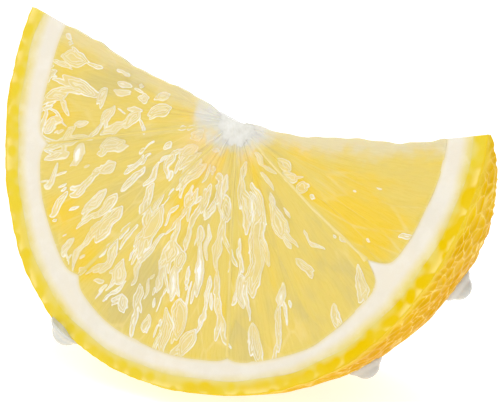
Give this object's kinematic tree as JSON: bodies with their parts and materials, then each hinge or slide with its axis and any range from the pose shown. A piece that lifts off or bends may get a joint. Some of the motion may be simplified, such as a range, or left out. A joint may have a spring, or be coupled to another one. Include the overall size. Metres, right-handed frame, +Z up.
{
  "type": "yuzu wedge",
  "caption": "Wet citrus wedge cut across the core, with pale flesh, white pith, a dimpled yellow peel and clinging juice drops. It stands on its peel, cut edge up.",
  "frame": {"origin": "middle of the footprint of the bounding box, on the surface that the wedge stands on", "axes": "+Z up, +X along the top cut edge, -Y the way the cut face through the core looks"},
  "size_m": [0.062, 0.0238, 0.0377],
  "materials": {
    "zest": "waxy yellow citrus peel, dimpled by its oil glands",
    "pith": "moist spongy white pith",
    "flesh": "wet translucent pale yellow juice sacs",
    "membrane": "thin translucent wet skin between the segments",
    "juice": "clear juice"
  },
  "bodies": {
    "root": {"yuzu_wedge": "zest", "juice_drop_left": "juice", "juice_drop_middle": "juice", "juice_drop_right": "juice"}
  },
  "joints": []
}
